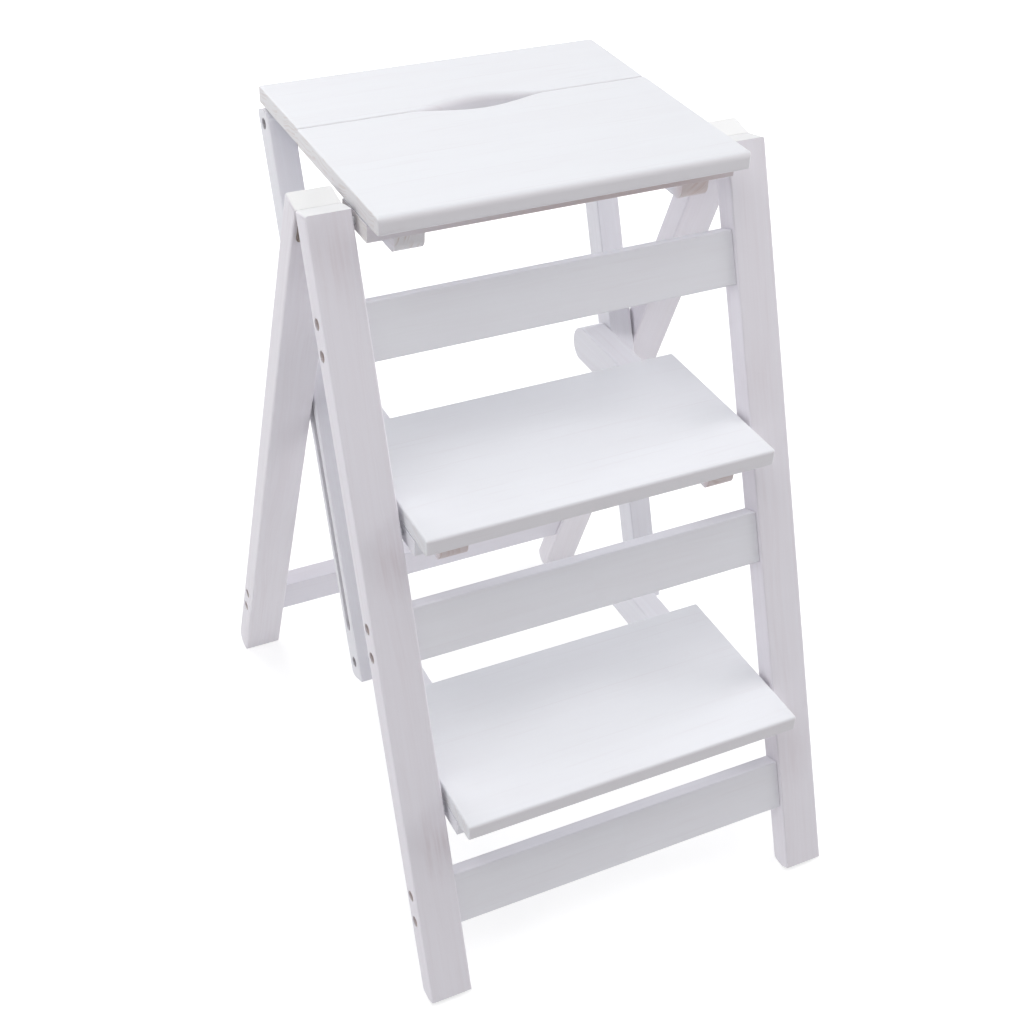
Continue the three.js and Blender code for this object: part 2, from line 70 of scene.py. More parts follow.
# Patterns of noise for masks: cells to the metre, detail, roughness, and the range that the mask rises in.
GLUE_GAPS = ((7.0, 25.0, 3.0), 2.0, 0.5, 0.45, 0.60)
RING_FADING = ((4.0, 60.0, 60.0), 2.0, 0.5, 0.34, 0.66)
STREAKS = ((6.0, 260.0, 260.0), 3.0, 0.55, 0.34, 0.70)
DASHES = ((11.0, 240.0, 240.0), 2.0, 0.5, 0.60, 0.72)
FIBRES = ((16.0, 950.0, 950.0), 3.0, 0.6, 0.30, 0.72)
MOTTLING = ((9.0, 46.0, 46.0), 3.0, 0.55, 0.36, 0.70)
KNOT_STREAKS = ((12.0, 420.0, 420.0), 2.0, 0.5, 0.30, 0.66)
WORN_ARRIS = ((60.0, 90.0, 90.0), 4.0, 0.5, 0.44, 0.64)
MISSED_PATCHES = ((5.0, 40.0, 40.0), 3.0, 0.5, 0.34, 0.62)
DULL_PATCHES = ((160.0, 160.0, 160.0), 4.0, 0.5, 0.42, 0.68)

# Ranges that other masks rise or fall in.
JOINT_LINE = (0.0002, 0.0009)
LATE_WOOD_RISE = (0.30, 0.84)
LATE_WOOD_FALL = (0.88, 1.0)
KNOT_SMUDGE = (0.15, 1.45)
KNOT_CORE = (0.15, 0.60)
ARRIS_BEND = (0.80, 0.985)
RECESS_SKY = (0.34, 0.62)
END_GRAIN = (0.62, 0.86)
# The arms' noses: the end colour spreads over every face near the tip, partly bare end grain and partly
# painted shade under the board.
NOSE_SHADE_AND_GRAIN = (NOSE_TIP - 0.022, NOSE_TIP - 0.003)
FACES_FRONT = (0.35, 0.95)
BATTEN_BARE = (-0.155, -0.085)

# Growth rings: how far a pith lies off the middle, how it bends, and how uneven the years are.
MIDDLE = (0.5, 0.5, 0.5)
PITH_SCATTER = (1.7, 0.09, 0.09)
PITH_BEND = (0.0, 0.034, 0.034)
YEARS_TO_A_SPELL = 0.37
YEARS_UNEVEN = 3.4
STRIP_DRIFT = 0.0022

# Knots: their width to their length, and how ragged, dark in the middle and streaked they are.
KNOT_SLIM = 0.55
KNOT_RAGGED = (1.1, 1.1, 1.1)
KNOT_CORE_SHARE = 0.25
KNOT_STREAK_LEAST = 0.45

# The paint: what the fine marks add to the wood that shows, its gloss, and the relief of its brush marks.
FIBRE_SHARE = 0.4
STRIP_TONE = 0.016
STRIP_JOINT = 0.085
NOSE_SHADE_AND_GRAIN_MOST = 0.85
MISSED_LEAST = 0.4
RECESS_RAGGED = 0.16
PAINT_ROUGH = 0.42
GLOSS_CHANGE = 0.16
WOOD_DULLS = 0.30
RING_RELIEF = 0.5
JOINT_RELIEF = -1.6
PAINT_BUMP = 0.22
PAINT_BUMP_HEIGHT = 0.00012

# Metal: its roughness, what the dull patches and turning marks add to it, and the relief of the marks.
METAL_ROUGH = 0.42
DULL_ROUGH = 0.2
MARKS_ROUGH = 0.12
METAL_BUMP = 0.3
METAL_BUMP_HEIGHT = 0.00005

# Shading of the facets that stand for rounded edges.
SAME_POINT = 0.000002
SHARP_FROM = math.radians(48)
FLAT_FACE_WEIGHT = 100

# Boards: the rounding of their edges, and the hand slot, half in each seat board.
SEAT_NOSE = 0.0055
STEP_NOSE = 0.0026
UNDER_ARRIS = 0.0010
UPRIGHT_ARRIS = 0.0020
ROUNDING_STEPS = 5
SLOT_HALF = 0.058
SLOT_FRONT_BOW = 0.0115
SLOT_REAR_BOW = 0.012
SLOT_FRONT_EDGE = 0.0025
SLOT_REAR_EDGE = 0.0068
SLOT_TIP_SHARE = 0.35
SLOT_STEPS = 32
NEAR = 0.00001

# Countersunk screws of the hinge leaves.
LEAF_FACE = 0.0013
SCREW_HEAD = 0.0026
SCREW_DOME = 0.0005
SCREW_SINK = 0.0012
RECESS_ARM = 0.0014
RECESS_WIDTH = 0.0005
RECESS_DEPTH = 0.0007
RECESS_TAPER = 0.8
SCREW_SPREAD = 0.0088
SCREW_DOWN = 0.0150
SCREW_STAGGER = 0.0032

# Rings of a screw head from the cone's end to the dome: share of the head's radius, and height.
SCREW_RINGS = ((0.55, -SCREW_SINK), (1.0, 0.0), (0.86, SCREW_DOME * 0.62), (0.66, SCREW_DOME * 0.92))

# Camera of the picture: where it stands, how it is turned, and its lens and film in millimetres.
CAMERA_PLACE = (-0.54674, -1.026726, 1.16077)
CAMERA_RIGHT = (0.89835336, -0.43767922, 0.03739181)
CAMERA_UP = (0.23486541, 0.55051063, 0.80110941)
CAMERA_BACK = (-0.37121353, -0.71089728, 0.59734878)
CAMERA_LENS = 55.55
CAMERA_FILM = 36.0

# The pale floor: its glow on the stool from below, and the one that the camera sees, whiter far away.
FLOOR_REACH = 14.0
FLOOR_DROP = 0.0002
FLOOR_GREY = (0.60, 0.60, 0.60, 1.0)
FLOOR_ROUGH = 0.8
FLOOR_SHINE = 0.2
FLOOR_GLOW = 0.30
FLOOR_SEEN = 0.52
FLOOR_NEAR = 0.8
FLOOR_AWAY = 2.4

# Soft lights: where each stands, the height that it aims at, its side, its watts and its colour.
WHITE = (1.0, 1.0, 1.0)
COOL_WHITE = (0.965, 0.985, 1.0)
LIGHTS = {
    "overhead": ((-0.3, -0.4, 3.0), 0.3, 3.0, 55.5, WHITE),
    "left": ((-3.0, -0.3, 1.2), 0.4, 2.0, 24.5, COOL_WHITE),
    "right": ((3.0, -0.2, 1.2), 0.4, 2.0, 62.0, WHITE),
    "right_high": ((2.3, -1.0, 2.3), 0.4, 2.0, 9.5, WHITE),
    "behind": ((0.5, 2.5, 2.4), 0.4, 2.0, 10.0, WHITE),
    "behind_low": ((-0.6, 2.8, 1.2), 0.4, 2.0, 41.0, WHITE),
}
SKY_COLOUR = (0.97, 0.975, 1.0, 1.0)
SKY_GLOW = 0.15

QUARTER = math.pi / 2


# Shader helpers.


def put(tree, kind, feeds=None, **settings):
    """A shader node with its settings; each feed is a value for a socket, or an output to link to it."""
    made = tree.nodes.new("ShaderNode" + kind)
    for name, value in settings.items():
        setattr(made, name, value)
    for socket, value in (feeds or {}).items():
        if isinstance(value, bpy.types.NodeSocket):
            tree.links.new(value, made.inputs[socket])
        else:
            made.inputs[socket].default_value = value
    return made


def reckon(tree, operation, *values, clamp=False):
    """The result of a Math node."""
    node = put(tree, "Math", dict(enumerate(values)), operation=operation, use_clamp=clamp)
    return node.outputs[0]


def reckon_vector(tree, operation, *values, result="Vector"):
    """The result of a Vector Math node."""
    node = put(tree, "VectorMath", dict(enumerate(values)), operation=operation)
    return node.outputs[result]


def ramp(tree, value, low, high, to_low=0.0, to_high=1.0):
    """A soft step from to_low to to_high as the value goes from low to high."""
    feeds = {"Value": value, "From Min": low, "From Max": high, "To Min": to_low, "To Max": to_high}
    node = put(tree, "MapRange", feeds, interpolation_type="SMOOTHSTEP")
    return node.outputs["Result"]


def blend_colours(tree, share, low, high):
    """The colour low, turning into high as the share goes from 0 to 1."""
    feeds = {"Factor": share}
    for socket, colour in ((6, low), (7, high)):
        feeds[socket] = colour if isinstance(colour, bpy.types.NodeSocket) else (*colour, 1.0)
    return put(tree, "Mix", feeds, data_type="RGBA").outputs[2]


def stretched_noise(tree, place, stretch, detail, roughness=0.5):
    """Noise whose cells have the given counts to the metre along X, Y and Z."""
    scaled = reckon_vector(tree, "MULTIPLY", place, stretch)
    return put(tree, "TexNoise", {"Vector": scaled, "Scale": 1.0, "Detail": detail, "Roughness": roughness})


def noise_mask(tree, place, stretch, detail, roughness, low, high, least=0.0, most=1.0):
    """A mask that rises from least to most as stretched noise goes from low to high."""
    noise = stretched_noise(tree, place, stretch, detail, roughness)
    return ramp(tree, noise.outputs["Fac"], low, high, least, most)


def new_group(name, takes, gives):
    """An empty node group with named inputs and outputs, and its two end nodes."""
    tree = bpy.data.node_groups.new(name, "ShaderNodeTree")
    for direction, sockets in (("INPUT", takes), ("OUTPUT", gives)):
        for socket, kind in sockets.items():
            tree.interface.new_socket(socket, in_out=direction, socket_type="NodeSocket" + kind)
    return tree, tree.nodes.new("NodeGroupInput"), tree.nodes.new("NodeGroupOutput")


def give(tree, end, **results):
    """Links the results to the group's outputs of the same names."""
    for name, result in results.items():
        tree.links.new(result, end.inputs[name.replace("_", " ")])


def use(tree, group, **feeds):
    """The group placed in a material, fed by name."""
    node = put(tree, "Group", node_tree=group)
    for name, value in feeds.items():
        socket = node.inputs[name.replace("_", " ")]
        if isinstance(value, bpy.types.NodeSocket):
            tree.links.new(value, socket)
        else:
            socket.default_value = value
    return node


# Node groups of the finishes.


def timber_of_its_own():
    """A random vector for each length of timber, told apart by the cell of the stool that it lies in."""
    takes = {"Place": "Vector", "Cell": "Vector"}
    tree, start, end = new_group("timber_of_its_own", takes, {"Own": "Vector"})
    cell = reckon_vector(tree, "DIVIDE", start.outputs["Place"], start.outputs["Cell"])
    whole = reckon_vector(tree, "FLOOR", cell)
    middle = reckon_vector(tree, "ADD", whole, MIDDLE)
    noise = put(tree, "TexWhiteNoise", {"Vector": middle}, noise_dimensions="3D")
    give(tree, end, Own=noise.outputs["Color"])
    return tree


def glued_strips():
    """The strips that a board is glued up from: a random vector and tone for each, and the line between."""
    takes = {"Place": "Vector", "Width": "Float", "Shift": "Float"}
    gives = {"Own": "Vector", "Joint": "Float", "Tone": "Float"}
    tree, start, end = new_group("glued_strips", takes, gives)
    place, width, shift = (start.outputs[k] for k in ("Place", "Width", "Shift"))
    split = put(tree, "SeparateXYZ", {"Vector": place})
    across = reckon(tree, "ADD", split.outputs["Y"], shift)
    wander = stretched_noise(tree, place, *STRIP_WANDER)
    drift = reckon(tree, "MULTIPLY_ADD", wander.outputs["Fac"], STRIP_DRIFT, across)
    row = reckon(tree, "DIVIDE", drift, width)
    strip = reckon(tree, "FLOOR", row)
    cell = put(tree, "CombineXYZ", {"X": width, "Y": strip, "Z": shift})
    noise = put(tree, "TexWhiteNoise", {"Vector": cell.outputs["Vector"]}, noise_dimensions="3D")
    part = reckon(tree, "FRACT", row)
    edge = reckon(tree, "MINIMUM", part, reckon(tree, "SUBTRACT", 1.0, part))
    away = reckon(tree, "MULTIPLY", edge, width)
    line = ramp(tree, away, *JOINT_LINE, 1.0, 0.0)
    joint = reckon(tree, "MULTIPLY", line, noise_mask(tree, place, *GLUE_GAPS))
    give(tree, end, Own=noise.outputs["Color"], Joint=joint, Tone=noise.outputs["Value"])
    return tree


def pine_rings():
    """Growth rings round a pith that runs along X, so faces show long arches and ends show arcs."""
    takes = {"Place": "Vector", "Own": "Vector", "Ring Width": "Float"}
    gives = {name: "Float" for name in ("Late Wood", "Streak", "Dash", "Fibre", "Mottle")}
    tree, start, end = new_group("pine_rings", takes, gives)
    own = reckon_vector(tree, "SUBTRACT", start.outputs["Own"], MIDDLE)
    far = reckon_vector(tree, "MULTIPLY", own, PITH_SCATTER)
    place = reckon_vector(tree, "ADD", start.outputs["Place"], far)
    warp = stretched_noise(tree, place, *GRAIN_WARP)
    bend = reckon_vector(tree, "SUBTRACT", warp.outputs["Color"], MIDDLE)
    bent = reckon_vector(tree, "MULTIPLY_ADD", bend, PITH_BEND, place)
    flat = reckon_vector(tree, "MULTIPLY", bent, (0.0, 1.0, 1.0))
    radius = reckon_vector(tree, "LENGTH", flat, result="Value")
    count = reckon(tree, "DIVIDE", radius, start.outputs["Ring Width"])
    spells = {"W": count, "Scale": YEARS_TO_A_SPELL, "Detail": 2.0}
    years = put(tree, "TexNoise", spells, noise_dimensions="1D")
    uneven = reckon(tree, "MULTIPLY_ADD", years.outputs["Fac"], YEARS_UNEVEN, count)
    turns = reckon(tree, "FRACT", uneven)
    rise = ramp(tree, turns, *LATE_WOOD_RISE)
    fall = ramp(tree, turns, *LATE_WOOD_FALL, 1.0, 0.0)
    whole = reckon(tree, "MULTIPLY", rise, fall)
    late = reckon(tree, "MULTIPLY", whole, noise_mask(tree, place, *RING_FADING))
    give(
        tree,
        end,
        Late_Wood=late,
        Streak=noise_mask(tree, place, *STREAKS),
        Dash=noise_mask(tree, place, *DASHES),
        Fibre=noise_mask(tree, place, *FIBRES),
        Mottle=noise_mask(tree, place, *MOTTLING),
    )
    return tree


def knot_under_paint():
    """A knot at its centre, longer along X: a ragged smudge that the paint hides all but a shade of."""
    takes = {"Place": "Vector", "Centre": "Vector", "Size": "Vector"}
    tree, start, end = new_group("knot_under_paint", takes, {"Knot": "Float"})
    place = start.outputs["Place"]
    away = reckon_vector(tree, "SUBTRACT", place, start.outputs["Centre"])
    ragged = stretched_noise(tree, place, *KNOT_EDGE)
    jitter = reckon_vector(tree, "SUBTRACT", ragged.outputs["Color"], MIDDLE)
    share = reckon_vector(tree, "DIVIDE", away, start.outputs["Size"])
    rough = reckon_vector(tree, "MULTIPLY_ADD", jitter, KNOT_RAGGED, share)
    far = reckon_vector(tree, "LENGTH", rough, result="Value")
    smudge = ramp(tree, far, *KNOT_SMUDGE, 1.0, 0.0)
    core = ramp(tree, far, *KNOT_CORE, 1.0, 0.0)
    pale = reckon(tree, "MULTIPLY", smudge, 1 - KNOT_CORE_SHARE)
    both = reckon(tree, "MULTIPLY_ADD", core, KNOT_CORE_SHARE, pale)
    broken = noise_mask(tree, place, *KNOT_STREAKS, KNOT_STREAK_LEAST)
    give(tree, end, Knot=reckon(tree, "MULTIPLY", both, broken))
    return tree


def thin_arris():
    """A mask along the edges of a piece, broken up by noise, where the paint lies thin."""
    takes = {"Place": "Vector", "Reach": "Float"}
    tree, start, end = new_group("thin_arris", takes, {"Thin": "Float"})
    soft = put(tree, "Bevel", {"Radius": start.outputs["Reach"]}, samples=4).outputs["Normal"]
    shape = put(tree, "NewGeometry").outputs["Normal"]
    agree = reckon_vector(tree, "DOT_PRODUCT", soft, shape, result="Value")
    edge = ramp(tree, agree, *ARRIS_BEND, 1.0, 0.0)
    broken = noise_mask(tree, start.outputs["Place"], *WORN_ARRIS)
    give(tree, end, Thin=reckon(tree, "MULTIPLY", edge, broken))
    return tree


def deep_recess():
    """A mask from how shut in a place is: bare wood on the walls of holes and grooves, which the paint
    doesn't reach, and painted shade there and in creases and corners.
    """
    takes = {"Place": "Vector", "Reach": "Float"}
    tree, start, end = new_group("deep_recess", takes, {"Recess": "Float"})
    reach = {"Distance": start.outputs["Reach"]}
    open_sky = put(tree, "AmbientOcclusion", reach, samples=8, only_local=True).outputs["AO"]
    noise = stretched_noise(tree, start.outputs["Place"], *RECESS_EDGE)
    ragged = reckon(tree, "MULTIPLY_ADD", noise.outputs["Fac"], RECESS_RAGGED, open_sky)
    give(tree, end, Recess=ramp(tree, ragged, *RECESS_SKY, 1.0, 0.0))
    return tree


def brush_marks():
    """Fine strokes of the paint brush along the grain, and its slow change in gloss."""
    gives = {"Strokes": "Float", "Gloss": "Float"}
    tree, start, end = new_group("brush_marks", {"Place": "Vector"}, gives)
    strokes = stretched_noise(tree, start.outputs["Place"], *BRUSH_STROKES)
    gloss = stretched_noise(tree, start.outputs["Place"], *BRUSH_GLOSS)
    give(tree, end, Strokes=strokes.outputs["Fac"], Gloss=gloss.outputs["Fac"])
    return tree


OWN_TIMBER = timber_of_its_own()
GLUED_STRIPS = glued_strips()
PINE_RINGS = pine_rings()
KNOT_UNDER_PAINT = knot_under_paint()
THIN_ARRIS = thin_arris()
DEEP_RECESS = deep_recess()
BRUSH_MARKS = brush_marks()


# Materials.


def blank(name):
    """A new material, its node tree and its shader."""
    material = bpy.data.materials.new(name)
    material.use_nodes = True
    tree = material.node_tree
    return material, tree, tree.nodes["Principled BSDF"]


PAINT = (0.812, 0.812, 0.856)
BOARD_PAINT = (0.800, 0.813, 0.846)
STILE_PAINT = (0.803, 0.780, 0.832)
LEG_PAINT = (0.830, 0.811, 0.856)
REAR_RAIL_PAINT = (0.790, 0.775, 0.836)
SHOWING_WOOD = (0.57, 0.475, 0.505)
PAINTED_END = (0.63, 0.55, 0.52)
BARE_END = (0.57, 0.44, 0.41)
# Colour of occluded hollows: bare pine, and painted shade where they lie deep.
BARE_WOOD_AND_SHADE = (0.78, 0.64, 0.58)
# Near-black colour in the link bar's groove: painted shade.
GROOVE_SHADE = (0.30, 0.27, 0.27)
THINLY_PAINTED = (0.58, 0.49, 0.49)
STILE_TOP = (0.755, 0.765, 0.760)
LEG_TOP = (0.860, 0.865, 0.850)
BATTEN_END = (0.66, 0.61, 0.55)


def painted_pine(
    name,
    turn=(0.0, 0.0, 0.0),
    cell=(FAR, FAR, STEP_RISE),
    strips=None,
    paint=PAINT,
    through=0.03,
    rings=0.05,
    streaks=0.05,
    dashes=0.05,
    mottling=0.04,
    knots=(),
    ends=0.08,
    arcs=0.25,
    end_colour=PAINTED_END,
    thin=0.12,
    front=0.0,
    missed=0.0,
    nose_only=False,
    hollow=BARE_WOOD_AND_SHADE,
):
    """White paint over pine whose grain runs along X after the turn.

    through is how much wood shows everywhere. rings, streaks, dashes, mottling, ends, arcs and thin are
    what each adds to that, and knots are a centre on the stool, a length and a strength each. strips is
    the width and the shift of the strips that a board is glued up from. front is how much more of the
    wood's colour goes on faces towards the front, which paints shade on them; missed is how bare the
    patches are there that the brush left. nose_only leaves end grain to the ends that face the front, and
    gives the end colour to every face near the nose tip, bare end grain and painted shade under the board.
    hollow is the colour in occluded holes, grooves and creases: bare wood, and painted shade there.
    """
    material, tree, shader = blank(name)
    coordinates = put(tree, "TexCoord")
    place = coordinates.outputs["Object"]
    lie, facing = (
        put(tree, "Mapping", {"Vector": coordinates.outputs[k], "Rotation": turn}).outputs["Vector"]
        for k in ("Object", "Normal")
    )
    if strips is None:
        own = use(tree, OWN_TIMBER, Place=place, Cell=cell).outputs["Own"]
    else:
        glued = use(tree, GLUED_STRIPS, Place=lie, Width=strips[0], Shift=strips[1])
        own, joint, tone = (glued.outputs[k] for k in ("Own", "Joint", "Tone"))
    if nose_only:
        half = Vector(ARM_SPACING) / 2
        shifted = reckon_vector(tree, "ADD", lie, ARM_SHIFT)
        around_pith = reckon_vector(tree, "WRAP", shifted, half, -half)
        wood = use(tree, PINE_RINGS, Place=around_pith, Own=own, Ring_Width=ARM_RING_WIDTH)
    else:
        wood = use(tree, PINE_RINGS, Place=lie, Own=own, Ring_Width=RING_WIDTH)
    late, streak, fibre, dash, mottle = (
        wood.outputs[k] for k in ("Late Wood", "Streak", "Fibre", "Dash", "Mottle")
    )
    edge = use(tree, THIN_ARRIS, Place=lie, Reach=ARRIS).outputs["Thin"]
    recess = use(tree, DEEP_RECESS, Place=place, Reach=RECESS_REACH).outputs["Recess"]
    brush = use(tree, BRUSH_MARKS, Place=lie)
    along = put(tree, "SeparateXYZ", {"Vector": facing}).outputs["X"]
    outward = reckon(tree, "MULTIPLY", along, -1.0) if nose_only else reckon(tree, "ABSOLUTE", along)
    end = ramp(tree, outward, *END_GRAIN)
    # Near the nose tip every face takes the end colour: bare end grain, and painted shade on the sides that
    # lie under the board.
    if nose_only:
        out_of_stile = (0.0, -math.cos(LEAN), math.sin(LEAN))
        ahead = reckon_vector(tree, "DOT_PRODUCT", place, out_of_stile, result="Value")
        end = reckon(tree, "MAXIMUM", end, ramp(tree, ahead, *NOSE_SHADE_AND_GRAIN, 0.0, NOSE_SHADE_AND_GRAIN_MOST))
    side = reckon(tree, "SUBTRACT", 1.0, end)
    if front or missed:
        ahead = put(tree, "SeparateXYZ", {"Vector": coordinates.outputs["Normal"]}).outputs["Y"]
        faces_front = ramp(tree, reckon(tree, "MULTIPLY", ahead, -1.0), *FACES_FRONT)

    adds = [
        (late, rings), (streak, streaks), (fibre, streaks * FIBRE_SHARE), (dash, dashes), (mottle, mottling)
    ]
    if strips is not None:
        adds += [(tone, STRIP_TONE), (joint, STRIP_JOINT)]
    into_grain = Euler(turn).to_matrix()
    for centre, length, strength in knots:
        size = (length, length * KNOT_SLIM, length * KNOT_SLIM)
        knot = use(tree, KNOT_UNDER_PAINT, Place=lie, Centre=into_grain @ Vector(centre), Size=size)
        adds.append((knot.outputs["Knot"], strength))
    adds.append((edge, thin))
    # Faces towards the front get more of the wood's colour: painted shade on them.
    if front:
        adds.append((faces_front, front))
    shows = through
    for mask, share in adds:
        shows = reckon(tree, "MULTIPLY_ADD", mask, share, shows)
    shows = reckon(tree, "MULTIPLY", shows, side)
    ringed = reckon(tree, "MULTIPLY_ADD", late, arcs, ends)
    shows = reckon(tree, "MULTIPLY_ADD", end, ringed, shows, clamp=True)
    under = blend_colours(tree, end, SHOWING_WOOD, end_colour)
    painted = blend_colours(tree, shows, paint, under)
    if missed:
        missing = noise_mask(tree, place, *MISSED_PATCHES, MISSED_LEAST, missed)
        across = put(tree, "SeparateXYZ", {"Vector": place}).outputs["X"]
        missing = reckon(tree, "MULTIPLY", missing, ramp(tree, across, *BATTEN_BARE))
        left_out = reckon(tree, "MULTIPLY", missing, faces_front)
        painted = blend_colours(tree, left_out, painted, THINLY_PAINTED)
    # Occluded places take the hollow colour: bare wood, and painted shade in holes, grooves and creases.
    colour = blend_colours(tree, recess, painted, hollow)
    tree.links.new(colour, shader.inputs["Base Color"])

    gloss = reckon(tree, "MULTIPLY_ADD", brush.outputs["Gloss"], GLOSS_CHANGE, PAINT_ROUGH)
    dull = reckon(tree, "MULTIPLY_ADD", shows, WOOD_DULLS, gloss, clamp=True)
    tree.links.new(dull, shader.inputs["Roughness"])
    relief = reckon(tree, "MULTIPLY_ADD", late, RING_RELIEF, brush.outputs["Strokes"])
    if strips is not None:
        relief = reckon(tree, "MULTIPLY_ADD", joint, JOINT_RELIEF, relief)
    bump = put(tree, "Bump", {"Strength": PAINT_BUMP, "Distance": PAINT_BUMP_HEIGHT, "Height": relief})
    tree.links.new(bump.outputs["Normal"], shader.inputs["Normal"])
    return material


def metal(name, colour, dark, marks_pattern):
    """Plated metal with fine turning marks and dull patches."""
    material, tree, shader = blank(name)
    place = put(tree, "TexCoord").outputs["Object"]
    marks = stretched_noise(tree, place, *marks_pattern).outputs["Fac"]
    dulled = noise_mask(tree, place, *DULL_PATCHES)
    tree.links.new(blend_colours(tree, dulled, colour, dark), shader.inputs["Base Color"])
    rough = reckon(tree, "MULTIPLY_ADD", dulled, DULL_ROUGH, METAL_ROUGH)
    rough = reckon(tree, "MULTIPLY_ADD", marks, MARKS_ROUGH, rough)
    tree.links.new(rough, shader.inputs["Roughness"])
    bump = put(tree, "Bump", {"Strength": METAL_BUMP, "Distance": METAL_BUMP_HEIGHT, "Height": marks})
    tree.links.new(bump.outputs["Normal"], shader.inputs["Normal"])
    shader.inputs["Metallic"].default_value = 1.0
    return material


UP_THE_STILE = (LEAN, QUARTER, 0.0)
UP_THE_LEG = (-LEG_LEAN, QUARTER, 0.0)
TO_THE_REAR = (0.0, 0.0, -QUARTER)
LEFT_OR_RIGHT = (0.4, FAR, FAR)

# Knots of the stiles: centre, length and strength.
STILE_KNOTS = (
    ((-0.179, -0.026, 0.607), 0.036, 0.24),
    ((-0.178, -0.116, 0.377), 0.030, 0.36),
    ((-0.175, -0.208, 0.142), 0.032, 0.40),
    ((0.178, -0.089, 0.446), 0.034, 0.16),
    ((0.178, -0.219, 0.115), 0.038, 0.18),
)

# What the boards, the rails, the posts and the arms have in common, each in its own kind.
SMOOTH_TOP = {
    "paint": BOARD_PAINT,
    "rings": 0.012,
    "streaks": 0.010,
    "dashes": 0.055,
    "mottling": 0.03,
    "arcs": 0.34,
    # front paints shade onto the boards' faces towards the front.
    "front": 0.24,
}
RAIL = {"rings": 0.02, "streaks": 0.03}
POST = {"cell": LEFT_OR_RIGHT, "ends": 0.72, "arcs": 0.12}
ARM = {"turn": TO_THE_REAR, "cell": (0.4, FAR, STEP_RISE), "nose_only": True}

pine_seat = painted_pine("pine_seat", strips=(0.043, 0.005), ends=0.27, **SMOOTH_TOP)
pine_middle_step = painted_pine("pine_middle_step", strips=(0.043, 0.014), **SMOOTH_TOP)
pine_lower_step = painted_pine("pine_lower_step", strips=(0.055, 0.023), **SMOOTH_TOP)
pine_rail = painted_pine("pine_rail", cell=(FAR, 0.4, STEP_RISE), **RAIL)
pine_rear_rail = painted_pine("pine_rear_rail", paint=REAR_RAIL_PAINT, **RAIL)
pine_stile = painted_pine(
    "pine_stile", turn=UP_THE_STILE, paint=STILE_PAINT, knots=STILE_KNOTS, end_colour=STILE_TOP, **POST
)
pine_leg = painted_pine(
    "pine_leg", turn=UP_THE_LEG, paint=LEG_PAINT, through=0.05, mottling=0.05, end_colour=LEG_TOP, **POST
)
# The link bar's groove is coloured near-black inside: painted shade.
pine_bar = painted_pine("pine_bar", turn=UP_THE_STILE, cell=LEFT_OR_RIGHT, hollow=GROOVE_SHADE)
pine_batten = painted_pine("pine_batten", ends=0.04, arcs=0.12)
# The seat batten lies under the seat's nose: front paints shade on its front face, and missed leaves thinly
# painted patches.
pine_seat_batten = painted_pine(
    "pine_seat_batten", front=0.35, missed=0.9, ends=0.45, arcs=0.30, end_colour=BATTEN_END
)
pine_arm = painted_pine("pine_arm", ends=0.30, arcs=0.70, **ARM)
pine_arm_bare_nose = painted_pine("pine_arm_bare_nose", ends=0.60, arcs=0.20, end_colour=BARE_END, **ARM)

TURNED = ((900.0, 60.0, 60.0), 3.0)
ROLLED = ((70.0, 70.0, 600.0), 3.0)
zinc = metal("zinc", (0.72, 0.73, 0.75), (0.52, 0.53, 0.55), TURNED)
# Screw and bolt heads sit deep in bores: their near-black colour is dark steel and painted shade of the
# bores.
dark_steel_and_shade = metal("dark_steel_and_shade", (0.15, 0.13, 0.12), (0.08, 0.07, 0.07), TURNED)
plating = metal("plating", (0.33, 0.28, 0.25), (0.20, 0.17, 0.15), ROLLED)

FINISH_OF = {
    "seat_board": pine_seat,
    "middle_step_board": pine_middle_step,
    "lower_step_board": pine_lower_step,
    "screw": dark_steel_and_shade,
    "bolt": dark_steel_and_shade,
    "pivot_pin": zinc,
    "guide_pin": zinc,
    "hinge": plating,
    "rear_rail": pine_rear_rail,
    "rail": pine_rail,
    "stile": pine_stile,
    "leg": pine_leg,
    "link_bar": pine_bar,
    "seat_batten": pine_seat_batten,
    "batten": pine_batten,
    "seat_arm_right": pine_arm_bare_nose,
    "middle_step_arm": pine_arm_bare_nose,
    "arm": pine_arm,
}


def finish_for(node):
    """The material of a CAD node, by the first of the words above that its name holds."""
    return next(finish for word, finish in FINISH_OF.items() if word in node)


# Rounded edges of the solids shade as round.


